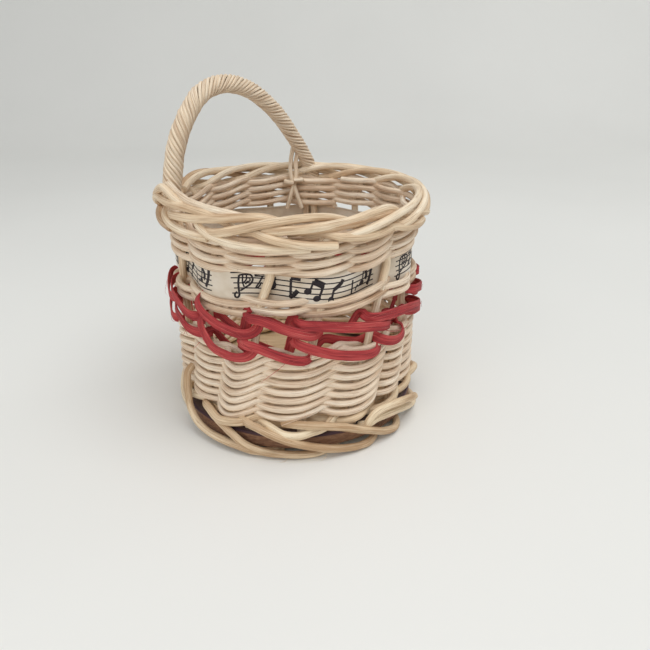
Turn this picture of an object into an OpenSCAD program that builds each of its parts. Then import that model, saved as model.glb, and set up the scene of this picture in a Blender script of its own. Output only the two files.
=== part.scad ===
// Small round wicker basket with a roped handle, a printed ribbon and two red cane bands.
// The origin is on the ground under the centre of the base, and +Z is up. The front is -Y.
// Angles are in degrees and go round the basket from the front (0) towards +X (90).

/* [Base board] */
// Radius of the round wooden board
board_r = 54.3; // [53.8:0.1:55]
// Thickness of the board
board_t = 6.5; // [5:0.5:7.5]
// Height of the board above the ground
board_lift = 3.3; // [3.2:0.1:3.6]
// Rounding of the board's edges
board_edge = 0.8; // [0.4:0.1:1.2]

/* [Stakes] */
// Number of upright stakes
stake_count = 14; // [12:2:14]
// Radius of the circle that the stakes stand on
stake_circle = 50.4; // [50:0.1:50.8]
// Radius of one stake
stake_r = 1.7; // [1.5:0.05:1.8]
// Play between a stake and its hole in the board
hole_play = 0.1; // [0.05:0.05:0.2]

/* [Weaving] */
// Radius of one weaver
weaver_r = 1.45; // [1.2:0.05:1.5]
// Height from one row of the lower wall to the next
lower_pitch = 3.8; // [3.7:0.05:3.9]
// Turns that each lower weaver makes
lower_turns = 8; // [6:1:8]
// Height from one row above the red bands to the next
upper_pitch = 3.15; // [3.1:0.05:3.4]
// Turns that each weaver makes above the ribbon
upper_turns = 4; // [3:1:4]
// How far a weaver rises where it crosses its partner
cross_rise = 1.0; // [0.6:0.1:1.2]

/* [Red bands] */
// Width of the flat red cane
red_w = 4.6; // [4:0.1:5]
// Thickness of the flat red cane
red_t = 0.9; // [0.7:0.1:1.2]
// How far the red cane drops between the middle and the end of a stroke
red_drop = 3.2; // [2.4:0.1:3.6]

/* [Ribbon] */
// Width of the ribbon
ribbon_w = 13; // [12:0.5:13]
// Thickness of the ribbon
ribbon_t = 0.5; // [0.4:0.1:0.8]

/* [Foot] */
// Radius of one foot strand
foot_r = 1.6; // [1.5:0.05:1.6]

/* [Handle] */
// Radius of the handle's core
core_r = 1.5; // [1.3:0.1:1.6]
// Radius of one roping strand
rope_r = 1.3; // [1.2:0.05:1.35]
// Turns that each roping strand makes round the core
rope_turns = 6.5; // [4:0.5:7]

/* [Hidden] */
rope_count = 5;

cane = "burlywood";
pale_cane = "wheat";
red_cane = "firebrick";

// Directions round the basket
bay = 360 / stake_count;
front_stake = -12;
join_bay = 7;

// Heights of the centre lines of the rows
bottom_row_z = 13.2;
lower_z = 15;
red_lower_z = 50;
red_upper_z = 59.6;
middle_z = 60.4;
ribbon_z = 73;
upper_z = 78.6;
// How much higher the rows above the ribbon lie at the back than at the front
upper_back_rise = 2.2;

// Centre lines of the red cane, which stands looser than the round weavers
red_mean_r = 51.9;
red_reach = 3.6;
// Where the red pair crosses, in degrees, one crossing for each bay
red_crossings = [-20, 4, 38, 62, 87, 112, 138, 164, 190, 216, 242, 267, 290, 313, 340];

// A stake leans as it rises: height against the angle that it has moved round
stake_lean = [[0, -13], [14, -12.5], [30, -10], [42, -6], [55, -2.5], [75, 0], [100, 2]];
stake_heights = [3.6, 9.5, 14, 22, 30, 38, 46, 54, 62, 70, 78, 86];
// The border stroke of a stake: angle past the stake, radius and height
border_start_z = 92;
border_stroke = [
    [2, 50.3, 92], [7, 51.2, 93.6], [13, 53.8, 94.4], [20, 55.6, 95], [30, 56, 96.8],
    [40, 55, 99], [49, 52.8, 99.8], [58, 50.6, 98.9], [67, 49.6, 96.8], [75, 50.8, 94.8],
    [83, 53.6, 93], [92, 55.3, 91.3], [104, 55.2, 90]
];
// A foot strand: angle past its stake, radius and height
foot_stroke = [
    [-13, 50.5, 11.6], [-6, 53, 12], [0, 54.9, 11.6], [8, 56, 10.4], [18, 56.2, 8],
    [28, 56.2, 5], [38, 56, 2.6], [47, 54, 1.6], [55, 50.5, 1.6]
];

// The handle's arch stands in an upright plane through its two feet
foot_left = -83;
foot_back = 173;
foot_circle = 52;
// The arch: distance from the middle of the plane, and height
arch_points = [
    [-40.5, 97], [-38.5, 107], [-35.5, 118], [-29, 129], [-20, 137], [-7, 140],
    [8, 136], [22, 126.5], [32, 115], [38.5, 105.5], [42, 97]
];
core_tail_heights = [72, 84, 91];
tail_r = 0.9;

/* Names, vectors and curves */

function numbered(name, k) = str(name, "_", k < 10 ? "0" : "", k);
function unit(v) = v / norm(v);
function polar(r, a, z) = [r * sin(a), -r * cos(a), z];
function flat(p) = [p[0], p[1], 0];
function outward(points) = [for (p = points) unit(flat(p))];
function tangent(p, i) = unit(p[min(i + 1, len(p) - 1)] - p[max(i - 1, 0)]);

function blend(a, b, c, d, t) =
    0.5 * (2 * b + (c - a) * t + (2 * a - 5 * b + 4 * c - d) * t * t
    + (3 * b - a - 3 * c + d) * t * t * t);

// A smooth curve through all the points, with this many steps between each two
function spline(p, steps) = [
    for (i = [0:len(p) - 2], j = [0:steps - 1])
        blend(p[max(i - 1, 0)], p[i], p[i + 1], p[min(i + 2, len(p) - 1)], j / steps),
    p[len(p) - 1]
];

// The corners of a cross-section: half height a along the side direction, half width b across it
function section(c, t, side, a, b, sides) =
    let (u = unit(side - (side * t) * t), v = cross(t, u),
        grow = sides == 4 ? sqrt(2) : sqrt(2 * PI / (sides * sin(360 / sides))))
    [for (k = [0:sides - 1]) let (w = 360 * (k + 0.5) / sides)
        c + grow * (a * cos(w) * u + b * sin(w) * v)];

// A strand of cane swept along the points, with its ends cut square
module strand(p, side, a, b, sides = 6) {
    last = len(p) - 1;
    corners = [for (i = [0:last]) each section(p[i], tangent(p, i), side[i], a, b, sides)];
    walls = [
        for (i = [0:last - 1], k = [0:sides - 1])
            let (n = (k + 1) % sides, low = i * sides, high = low + sides)
            each [[low + k, high + k, high + n], [low + k, high + n, low + n]]
    ];
    start = [for (k = [1:sides - 2]) [0, k, k + 1]];
    end = [for (k = [1:sides - 2]) [last * sides, last * sides + k + 1, last * sides + k]];
    polyhedron(points = corners, faces = concat(start, walls, end));
}

/* Base board */

function stake_angle(k, z) = front_stake + bay * k + lookup(z, stake_lean);

module base_board() {
    color("saddlebrown")
        difference() {
            translate([0, 0, board_lift])
                rotate_extrude($fn = 96)
                    board_outline();
            for (k = [1:stake_count])
                translate(polar(stake_circle, stake_angle(k, board_lift), 0))
                    cylinder(r = stake_r + hole_play, h = 2 * (board_lift + board_t), $fn = 24);
        }
}

module board_outline() {
    square([board_r - board_edge, board_t]);
    translate([0, board_edge])
        square([board_r, board_t - 2 * board_edge]);
    for (z = [board_edge, board_t - board_edge])
        translate([board_r - board_edge, z])
            circle(r = board_edge, $fn = 24);
}

/* Stakes and foot strands */

function stroke(k, base_z, points) = [
    for (p = points) polar(p[1], stake_angle(k, base_z) + p[0], p[2])
];

function stake_path(k) = concat(
    [for (z = stake_heights) polar(stake_circle, stake_angle(k, max(z, board_lift + board_t)), z)],
    stroke(k, border_start_z, border_stroke)
);

module stake(k) {
    path = stake_path(k);
    color(pale_cane)
        strand(path, outward(path), stake_r, stake_r);
}

module foot_strand(k) {
    path = stroke(k, bottom_row_z, foot_stroke);
    color(cane)
        strand(path, outward(path), foot_r, foot_r);
}

/* Weaving */

// One cane of a pair: it passes in front of one stake and behind the next, turn after turn.
// The partner has the other side, and so is behind where this one is in front.
function twine(z, turns, pitch, r, side, back_rise) = [
    for (i = [0:2 * stake_count * turns])
        let (s = join_bay + i / 2, w = 180 * (s + side), level = z + pitch * i / (2 * stake_count),
            angle = stake_angle(s, level), row = level + back_rise * (1 - cos(angle)) / 2,
            reach = stake_r + r)
        polar(stake_circle + reach * cos(w), angle, row + cross_rise * sin(w))
];

module weaver(z, turns, pitch, r, side, back_rise = 0) {
    path = twine(z, turns, pitch, r, side, back_rise);
    color(pale_cane)
        strand(path, outward(path), r, r);
}

module bottom_weaver(side) {
    weaver(bottom_row_z, 1, 0, stake_r, side);
}

module lower_weaver(side) {
    weaver(lower_z, lower_turns, lower_pitch, weaver_r, side);
}

module middle_weaver(side) {
    weaver(middle_z, 2, upper_pitch, weaver_r, side);
}

module upper_weaver(side) {
    weaver(upper_z, upper_turns, upper_pitch, weaver_r, side, upper_back_rise);
}

/* Red bands */

// A flat cane that goes once round, from crossing to crossing
function red_path(z, side) = [
    for (k = [0:stake_count - 1], t = k == stake_count - 1 ? [0, 0.25, 0.5, 0.75, 0.98] : [0, 0.25, 0.5, 0.75])
        let (a = red_crossings[k] * (1 - t) + red_crossings[k + 1] * t, front = (k + side) % 2 == 0 ? 1 : -1)
        polar(red_mean_r + front * red_reach * sin(180 * t), a, z + front * red_drop * cos(180 * t))
];

module red_band(z, side) {
    path = red_path(z, side);
    color(red_cane)
        strand(path, outward(path), red_t / 2, red_w / 2, 4);
}

/* Ribbon */

// The ribbon passes behind every other stake and in front of the ones between
module ribbon() {
    reach = stake_r + ribbon_t;
    path = [
        for (i = [0:2 * stake_count])
            let (s = join_bay + (i == 0 ? 0.02 : i == 2 * stake_count ? stake_count - 0.02 : i / 2))
            polar(stake_circle - reach * cos(180 * s), stake_angle(s, ribbon_z), ribbon_z)
    ];
    color("ivory")
        strand(path, outward(path), ribbon_t / 2, ribbon_w / 2, 4);
}

/* Handle */

arch_left = polar(foot_circle, foot_left, 0);
arch_back = polar(foot_circle, foot_back, 0);
arch_middle = (arch_left + arch_back) / 2;
arch_way = unit(arch_back - arch_left);
arch_side = cross(arch_way, [0, 0, 1]);
function on_arch(p) = arch_middle + arch_way * p[0] + [0, 0, p[1]];
arch = [for (p = spline(arch_points, 6)) on_arch(p)];

module handle_core() {
    tail = core_tail_heights;
    path = concat(
        [for (z = tail) polar(stake_circle, foot_left, z)],
        [for (p = spline(arch_points, 2)) on_arch(p)],
        [for (i = [len(tail) - 1:-1:0]) polar(stake_circle, foot_back, tail[i])]
    );
    color(cane)
        strand(path, [for (p = path) arch_side], core_r, core_r, 8);
}

// One strand that winds round the core from foot to foot
module handle_strand(k) {
    last = len(arch) - 1;
    path = [
        for (i = [0:last])
            let (t = tangent(arch, i), n = cross(arch_side, t), w = 360 * (k / rope_count - rope_turns * i / last))
            arch[i] + (core_r + rope_r) * (cos(w) * n + sin(w) * arch_side)
    ];
    color(pale_cane)
        strand(path, [for (i = [0:last]) unit(path[i] - arch[i])], rope_r, rope_r);
}

// Two thin ends that leave the rope near its back foot and drop inside the rim
module handle_tail(start, spread) {
    path = spline([
        on_arch(start),
        polar(47.5, 180 + spread, 103),
        polar(45.9, 180 + spread, 96),
        polar(45.5, 180 - spread, 88),
        polar(46.2, 180 - 3 * spread, 80)
    ], 3);
    color(cane)
        strand(path, outward(path), tail_r, tail_r);
}

// The loop that binds the two ends to the weaving
module handle_tie() {
    path = [for (i = [0:12]) let (w = 30 * i - 90)
        polar(46.6 + 2.4 * sin(w), 180 + 5 * cos(w), 93 + i / 8)];
    color(pale_cane)
        strand(path, [for (p = path) [0, 0, 1]], tail_r, tail_r);
}

base_board();
for (k = [1:stake_count]) stake(k);
for (k = [1:stake_count]) foot_strand(k);
bottom_weaver(0);  // bottom_weaver_a
bottom_weaver(1);  // bottom_weaver_b
lower_weaver(0);  // lower_weaver_a
lower_weaver(1);  // lower_weaver_b
red_band(red_lower_z, 0);  // red_lower_a
red_band(red_lower_z, 1);  // red_lower_b
red_band(red_upper_z, 0);  // red_upper_a
red_band(red_upper_z, 1);  // red_upper_b
middle_weaver(0);  // middle_weaver_a
middle_weaver(1);  // middle_weaver_b
ribbon();
upper_weaver(0);  // upper_weaver_a
upper_weaver(1);  // upper_weaver_b
handle_core();
for (k = [1:rope_count]) handle_strand(k);
handle_tail([33, 113.5], 1.5);  // handle_tail_a
handle_tail([36, 109], -1.5);  // handle_tail_b
handle_tie();
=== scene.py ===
"""The looks of a small round wicker basket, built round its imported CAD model.

Routes are written in millimetres as (angle, radius, height): the angle is in degrees round the basket
from the front (0, which is -Y) towards +X (90), and the height is above the ground.
"""

import math

import bpy
import numpy as np
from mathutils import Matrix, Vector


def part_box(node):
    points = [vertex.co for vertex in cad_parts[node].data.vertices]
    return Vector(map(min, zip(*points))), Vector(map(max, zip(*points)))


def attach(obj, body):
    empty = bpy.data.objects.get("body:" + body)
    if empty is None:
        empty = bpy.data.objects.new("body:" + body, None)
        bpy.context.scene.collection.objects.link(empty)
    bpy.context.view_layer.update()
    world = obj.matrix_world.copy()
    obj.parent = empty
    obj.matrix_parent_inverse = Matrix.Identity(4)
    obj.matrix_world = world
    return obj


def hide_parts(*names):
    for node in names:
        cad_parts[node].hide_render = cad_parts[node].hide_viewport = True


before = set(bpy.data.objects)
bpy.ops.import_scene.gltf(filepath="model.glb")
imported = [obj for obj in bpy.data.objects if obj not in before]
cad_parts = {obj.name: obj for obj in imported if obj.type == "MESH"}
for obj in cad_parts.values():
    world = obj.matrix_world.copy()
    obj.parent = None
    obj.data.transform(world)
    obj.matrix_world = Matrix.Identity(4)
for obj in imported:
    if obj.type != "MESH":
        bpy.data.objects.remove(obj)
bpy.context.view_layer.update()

MM = 0.001
UP = np.array([0, 0, 1.0])

# ---- driving sizes, in millimetres and degrees

STAKES = 14
BAY = 360 / STAKES
FRONT_STAKE = -12
STAKE_CIRCLE = 50.4
STAKE_R = 1.7
STAKE_LEAN = [(0, -13), (14, -12.5), (30, -10), (42, -6), (55, -2.5), (75, 0), (100, 2)]
WEAVER_R = 1.31
FOOT_R = 1.65
BORDER_R = 1.52
FOOT_Z = 13
BORDER_Z = 92
BOARD_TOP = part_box("base_board")[1][2] / MM

LOWER_Z = 14.1
LOWER_PITCH = 3.95
LOWER_TURNS = 8
# How many degrees a crossing of the lower rows shifts for each millimetre above this level
LOWER_LEAN = 0.28
LEAN_LEVEL = 30
BOTTOM_Z = 13.4
MIDDLE_Z = 60
UPPER_Z = 77.8
UPPER_PITCH = 3.6
RIBBON_BACK_RISE = 1.8
UPPER_TURNS = 4
JOIN_BAY = 7

RIBBON_Z = 72.5
RIBBON_W = 13
RIBBON_T = 0.35
RIBBON_CURL = 0.8
RIBBON_REACH = STAKE_R + 0.45
# The share of a bay that stays free between each end of the ribbon and the stake where they meet
RIBBON_GAP = 0.02
# The printed pattern's length, where one clef stands, and the staff's ends, gaps and lines
PRINT_LENGTH = 72
PRINT_LENGTH_LEFT = 0.955 * PRINT_LENGTH
CLEF_ANGLE = 335.1
STAFF_FROM = -3.4
STAFF_TO = 57.5
STAFF_GAP = 2.05
STAFF_LINE = 0.46
# How far the print stays from the ribbon's ends, and where the ink's two faces lie from the ribbon's
PRINT_MARGIN = 1.0
INK_TOP = 0.05
INK_FOOT = -0.08

RED_W = 4.3
RED_T = 0.8
RED_INNER_R = 47.9
# How far a step behind the stakes lies below the stroke that covers it
RED_STEP_DROP = 4
# Points of the flat cane beyond this radius are on its front strokes
RED_FRONT_R = 56
RED_FIBRES = 16

HANDLE_LEFT = -83
HANDLE_BACK = 173
HANDLE_CIRCLE = 52
ARCH = [
    (-40.5, 97), (-38.5, 107), (-35.5, 118), (-29, 129.3), (-20.4, 137.7), (-7.5, 140.8),
    (7.5, 136.8), (22, 126.5), (32.5, 115), (40.4, 104.8), (45.2, 96.5), (47.5, 91),
]
CORE_R = 1.5
ROPE_R = 0.76
ROPE_REACH = 3.34
ROPE_TURNS = 6.5
ROPE_COUNT = 5
TAIL_R = 1.1

# The camera, in metres and degrees
EYE = (0, -0.25918, 0.15430)
LOOK_DOWN = 24.75
LOOK_RIGHT = 2.956
LENS = 33.23

# ---- curves


def seed_of(name):
    """A whole number that belongs to this name, so that each piece draws its own random numbers."""
    return sum((i + 1) * ord(letter) for i, letter in enumerate(name))


def smooth(points, steps):
    """A smooth curve through all the points, with this many steps between each two."""
    p = np.asarray(points, float)
    p = np.vstack([2 * p[0] - p[1], p, 2 * p[-1] - p[-2]])
    t = np.linspace(0, 1, steps, endpoint=False)[:, None]
    spans = [
        0.5 * (2 * b + (c - a) * t + (2 * a - 5 * b + 4 * c - d) * t**2 + (3 * b - a - 3 * c + d) * t**3)
        for a, b, c, d in zip(p, p[1:], p[2:], p[3:])
    ]
    return np.vstack(spans + [p[-2:-1]])


def place(route):
    """Points in space from (angle, radius, height) rows."""
    route = np.asarray(route, float)
    angle = np.radians(route[:, 0])
    return np.stack([route[:, 1] * np.sin(angle), -route[:, 1] * np.cos(angle), route[:, 2]], 1)


def lengths(points):
    """How far along the line each point is."""
    return np.concatenate([[0], np.cumsum(np.linalg.norm(np.diff(points, axis=0), axis=1))])


def sample(rows, along, want):
    """The rows, which belong to the places along, read off at the places wanted."""
    rows = np.asarray(rows, float)
    return np.stack([np.interp(want, along, column) for column in rows.T], 1)


def evenly(points, step):
    """The same line with its points this far apart."""
    along = lengths(points)
    count = max(2, int(round(along[-1] / step)) + 1)
    return sample(points, along, np.linspace(0, along[-1], count))


def unit(rows):
    """Each row at length 1."""
    return rows / np.maximum(np.linalg.norm(rows, axis=1), 1e-9)[:, None]


def outward(points):
    """For each point, the level direction away from the basket's axis."""
    return unit(points * [1, 1, 0])


def drift(count, step, wave, rng):
    """A smooth random curve from about -1 to 1, whose bumps are about this long."""
    knots = max(4, int(count * step / wave) + 4)
    values = smooth(rng.uniform(-1, 1, knots)[:, None], 8)[:, 0]
    return np.interp(np.linspace(0, len(values) - 1, count), np.arange(len(values)), values)


def stake_angle(k, z):
    """Where a stake stands at this height, in degrees."""
    lean = np.interp(z, *np.transpose(STAKE_LEAN))
    return FRONT_STAKE + BAY * k + lean


# ---- meshes


def put(name, data):
    """A new object in the scene."""
    made = bpy.data.objects.new(name, data)
    bpy.context.scene.collection.objects.link(made)
    return made


class Shape:
    """Collects the vertices, faces and grain of one piece."""

    def __init__(self, name):
        self.name = name
        self.rng = np.random.default_rng(seed_of(name))
        self.points, self.faces, self.grain, self.tone = [], [], [], []
        self.count = 0

    def add(self, points, faces, grain, tone):
        """Adds points with their faces, their places in the grain and one tone."""
        self.points.append(points)
        self.faces.extend([i + self.count for i in face] for face in faces)
        self.grain.append(grain)
        self.tone.append(np.full(len(points), tone))
        self.count += len(points)

    def mesh(self, material):
        """The piece itself, in metres."""
        data = bpy.data.meshes.new(self.name)
        data.from_pydata((np.vstack(self.points) * MM).tolist(), [], self.faces)
        grain = data.attributes.new("grain", "FLOAT_VECTOR", "POINT")
        grain.data.foreach_set("vector", np.vstack(self.grain).astype(np.float32).ravel())
        tone = data.attributes.new("tone", "FLOAT", "POINT")
        tone.data.foreach_set("value", np.concatenate(self.tone).astype(np.float32))
        data.polygons.foreach_set("use_smooth", [True] * len(data.polygons))
        data.materials.append(material)
        return put(self.name, data)


def round_section(sides):
    """A circle of radius 1 as (x, y) rows, and each row's place round it from 0 to 1."""
    share = (np.arange(sides) + 0.5) / sides
    w = share * 2 * math.pi
    return np.stack([np.cos(w), np.sin(w)], 1), share


def flat_section(sides):
    """A flat strip with rounded edges, 1 wide to each side, and the same place value on both faces."""
    y = np.linspace(-1, 1, sides // 2)
    x = np.clip(1 - np.abs(y) ** 7, 0, 1) ** 0.5 * 0.9 + 0.1
    outline = np.vstack([np.stack([x, y], 1), np.stack([-x[::-1], y[::-1]], 1)])
    return outline, np.concatenate([y, y[::-1]]) * 0.5 + 0.5


def ring_faces(count, sides):
    """The faces between rings of points that follow one another."""
    ring = np.arange(count * sides).reshape(count, sides)
    nxt = np.roll(ring, -1, axis=1)
    return np.stack([ring[:-1], ring[1:], nxt[1:], nxt[:-1]], 2).reshape(-1, 4).tolist()


def bar_faces(count, sides):
    """The faces of a closed bar: those between its rings, and one across each end."""
    total = count * sides
    ends = [list(range(sides)), list(range(total - 1, total - sides - 1, -1))]
    return ring_faces(count, sides) + ends


def tube(shape, path, side, half_u, half_v,
         sides=14, flat=False, ridge=0.035, wobble=0.12, taper=(0, 0)):
    """Adds a strand along the path. half_u is its half size along side, and half_v across it.

    ridge is how deep the grooves along the cane are, as a share of its size, and wobble how far the cane
    strays from its path. taper is the length over which the start and the end thin out."""
    rng = shape.rng
    step = 0.9
    along = lengths(path)
    count = max(4, int(round(along[-1] / step)) + 1)
    want = np.linspace(0, along[-1], count)
    p = sample(path, along, want)
    t = unit(np.gradient(p, axis=0))
    s = sample(side, along, want)
    u = unit(s - t * np.sum(s * t, axis=1)[:, None])
    v = np.cross(t, u)
    a = np.interp(want, along, half_u * np.ones(len(path)))
    b = np.interp(want, along, half_v * np.ones(len(path)))
    size = 1 + 0.05 * drift(count, step, 14, rng) + 0.025 * drift(count, step, 4, rng)
    for length, distance in zip(taper, (want, want[-1] - want)):
        if length:
            size = size * np.sqrt(np.clip(distance / length, 0.02, 1))
    p = p + wobble * drift(count, step, 9, rng)[:, None] * v
    p = p + 0.5 * wobble * drift(count, step, 11, rng)[:, None] * u
    outline, place_round = flat_section(sides) if flat else round_section(sides)
    groove = np.zeros((count, sides))
    waves = ((3, 0.8), (7, 1.0), (11, 0.8)) if flat else ((2, 0.6), (3, 1.0), (5, 0.8))
    for number, share in waves:
        turn = rng.uniform(0, 6.3) + 1.2 * drift(count, step, 25, rng)
        groove += share * np.cos(2 * math.pi * number * place_round[None, :] + turn[:, None])
    x = outline[None, :, 0] * a[:, None] * size[:, None]
    y = outline[None, :, 1] * b[:, None] * size[:, None]
    x = x * (1 + ridge * groove / 1.6)
    if not flat:
        y = y * (1 + ridge * groove / 1.6)
    rings = p[:, None, :] + x[..., None] * u[:, None, :] + y[..., None] * v[:, None, :]
    offset = rng.uniform(0, 900)
    grain = np.stack([x, y, np.repeat(want[:, None] + offset, sides, 1)], 2)
    tone = rng.uniform(0, 1)
    shape.add(rings.reshape(-1, 3), ring_faces(count, sides), grain.reshape(-1, 3), tone)
    close_end(shape, rings[0], -t[0], offset, tone, False)
    close_end(shape, rings[-1], t[-1], offset + want[-1], tone, True)


def close_end(shape, ring, out, along, tone, last):
    """A cut end: a small bevel ring and a face across it."""
    sides = len(ring)
    middle = ring.mean(0)
    bevel = middle + 0.86 * (ring - middle) + 0.14 * out
    cap = np.vstack([ring, bevel, [middle + 0.1 * out]])
    k = np.arange(sides)
    n = (k + 1) % sides
    faces = np.stack([k, n, n + sides, k + sides], 1).tolist()
    faces += np.stack([k + sides, n + sides, np.full(sides, 2 * sides)], 1).tolist()
    if not last:
        faces = [face[::-1] for face in faces]
    grain = np.concatenate([cap[:, :2] * 3, np.full((len(cap), 1), along)], 1)
    shape.add(cap, faces, grain, tone)


def hair(shape, points, r):
    """A loose fibre: a thin closed tube."""
    path = smooth(points, 8)
    side = np.tile([0.3, 0.5, 0.8], (len(path), 1))
    tube(shape, path, side, r, r, sides=5, ridge=0, wobble=0.02, taper=(0, 6))


# ---- materials


def srgb(r, g, b):
    """The shader's colour for 0 to 255 display values, in which all colours here are written."""
    def linear(c):
        c = c / 255
        return c / 12.92 if c <= 0.04045 else ((c + 0.055) / 1.055) ** 2.4
    return (linear(r), linear(g), linear(b), 1)


class Nodes:
    """A new material with a few short ways to add nodes to it."""

    def __init__(self, name):
        self.material = bpy.data.materials.new(name)
        self.material.use_nodes = True
        self.tree = self.material.node_tree
        self.shader = self.tree.nodes["Principled BSDF"]

    def node(self, kind, inputs=(), **settings):
        """A node with these settings, whose inputs are linked to sockets or set to values."""
        made = self.tree.nodes.new(kind)
        for key, value in settings.items():
            setattr(made, key, value)
        for socket, value in dict(inputs).items():
            if isinstance(value, bpy.types.NodeSocket):
                self.tree.links.new(value, made.inputs[socket])
            else:
                made.inputs[socket].default_value = value
        return made

    def attribute(self, name, output):
        return self.node("ShaderNodeAttribute", attribute_name=name).outputs[output]

    def noise(self, vector, scale, detail, rough):
        """Noise from 0 to 1, on the vector stretched by scale."""
        mapping = self.node("ShaderNodeMapping", {"Vector": vector, "Scale": scale})
        inputs = {"Vector": mapping.outputs[0], "Scale": 1.0, "Detail": detail, "Roughness": rough}
        return self.node("ShaderNodeTexNoise", inputs).outputs["Fac"]

    def ramp(self, value, stops):
        """A colour from the value, through (position, colour) stops."""
        made = self.node("ShaderNodeValToRGB", {"Fac": value})
        elements = made.color_ramp.elements
        while len(elements) < len(stops):
            elements.new(0.5)
        for element, (position, colour) in zip(elements, stops):
            element.position = position
            element.color = srgb(*colour)
        return made.outputs["Color"]

    def mask(self, value, low, high):
        """0 up to low and 1 from high on, or the other way round where low is the higher."""
        inputs = {"Value": value, "From Min": low, "From Max": high}
        return self.node("ShaderNodeMapRange", inputs).outputs["Result"]

    def math(self, operation, first, second=0.0):
        return self.node("ShaderNodeMath", {0: first, 1: second}, operation=operation).outputs[0]

    def times(self, first, second):
        return self.math("MULTIPLY", first, second)

    def plus(self, first, second):
        return self.math("ADD", first, second)

    def minus(self, first, second):
        return self.math("SUBTRACT", first, second)

    def mix(self, share, first, second):
        """One colour over another, by share from 0 to 1."""
        if isinstance(second, tuple):
            second = srgb(*second)
        return self.node("ShaderNodeMix", {0: share, 6: first, 7: second}, data_type="RGBA").outputs[2]

    def finish(self, colour, roughness, height, bump, specular=0.35):
        """Links the shader's colour, roughness and bump, and gives the material."""
        self.tree.links.new(colour, self.shader.inputs["Base Color"])
        self.tree.links.new(roughness, self.shader.inputs["Roughness"])
        made = self.node("ShaderNodeBump", {"Height": height, "Strength": bump, "Distance": 0.0002})
        self.tree.links.new(made.outputs["Normal"], self.shader.inputs["Normal"])
        self.shader.inputs["Specular IOR Level"].default_value = specular
        return self.material


def cane(name, dark, middle, light, cloudy=0.5, spread=0.22):
    """Natural cane: long fibres, slow changes of tone along the strand, dark hair lines and small marks.

    cloudy is the slow changes' share of the tone, and spread how far the strands' own tones differ."""
    n = Nodes(name)
    grain = n.attribute("grain", "Vector")
    tone = n.attribute("tone", "Fac")
    fibre = n.noise(grain, (2.6, 2.6, 0.06), 4, 0.6)
    slow = n.noise(grain, (0.25, 0.25, 0.045), 2, 0.5)
    hairline = n.noise(grain, (4.5, 4.5, 0.09), 2, 0.5)
    speck = n.noise(grain, (2.2, 2.2, 0.9), 2, 0.5)
    shade = n.plus(n.times(fibre, 1 - cloudy), n.times(slow, cloudy))
    shade = n.plus(shade, n.times(n.minus(tone, 0.5), spread))
    colour = n.ramp(shade, [(0.33, dark), (0.5, middle), (0.68, light)])
    lines = n.mask(hairline, 0.43, 0.33)
    colour = n.mix(n.times(lines, 0.7), colour, dark)
    marks = n.mask(speck, 0.30, 0.24)
    colour = n.mix(n.times(marks, 0.5), colour, (128, 92, 62))
    height = n.minus(fibre, n.times(lines, 0.7))
    rough = n.mask(fibre, -0.9, 1.6)
    return n.finish(colour, rough, height, 0.6)


def red_cane():
    """Dyed flat cane: red fibres, grooves darkened with painted shade and thin pale splits where the dye
    didn't reach.
    """
    n = Nodes("red_cane")
    grain = n.attribute("grain", "Vector")
    tone = n.attribute("tone", "Fac")
    fibre = n.noise(grain, (1.6, 2.8, 0.05), 4, 0.65)
    slow = n.noise(grain, (0.2, 0.3, 0.05), 2, 0.5)
    split = n.noise(grain, (1.0, 4.2, 0.05), 2, 0.6)
    shade = n.plus(n.times(fibre, 0.62), n.times(slow, 0.38))
    shade = n.plus(shade, n.times(n.minus(tone, 0.5), 0.08))
    stops = [(0.34, (122, 32, 38)), (0.48, (180, 60, 62)), (0.66, (210, 102, 96))]
    colour = n.ramp(shade, stops)
    pale = n.mask(split, 0.66, 0.74)
    colour = n.mix(n.times(pale, 0.7), colour, (216, 144, 130))
    # Painted shade: the grooves that the bump carves are darkened towards deep red
    groove = n.mask(split, 0.36, 0.28)
    colour = n.mix(n.times(groove, 0.75), colour, (92, 20, 26))
    height = n.minus(fibre, n.times(groove, 0.8))
    rough = n.mask(fibre, -1.0, 1.4)
    return n.finish(colour, rough, height, 0.9, 0.3)


def satin():
    """Ivory ribbon: a fine weave, faint creases and a few tea-coloured clouds."""
    n = Nodes("ribbon_satin")
    cloth = n.attribute("grain", "Vector")
    parts = n.node("ShaderNodeSeparateXYZ", {"Vector": cloth})
    along = n.math("SINE", n.times(parts.outputs["Z"], 21.0))
    across = n.math("SINE", n.times(parts.outputs["Y"], 25.0))
    weave = n.times(n.plus(along, across), 0.25)
    cloud = n.noise(cloth, (1, 0.10, 0.07), 3, 0.5)
    crease = n.noise(cloth, (1, 0.9, 0.12), 2, 0.5)
    stops = [(0.3, (204, 186, 160)), (0.48, (224, 210, 190)), (0.66, (234, 224, 208))]
    colour = n.ramp(cloud, stops)
    colour = n.mix(n.times(n.mask(weave, 0.1, 0.5), 0.12), colour, (196, 184, 166))
    rough = n.mask(crease, -0.6, 1.8)
    height = n.plus(weave, n.times(crease, 1.5))
    n.shader.inputs["Sheen Weight"].default_value = 0.25
    return n.finish(colour, rough, height, 0.35, 0.4)


def ink():
    """Black print with slightly uneven cover."""
    n = Nodes("ribbon_ink")
    cloth = n.attribute("grain", "Vector")
    cover = n.noise(cloth, (1, 3, 3), 3, 0.6)
    colour = n.ramp(cover, [(0.3, (24, 20, 26)), (0.7, (58, 50, 52))])
    return n.finish(colour, n.mask(cover, -0.8, 1.6), cover, 0.1, 0.3)


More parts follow.
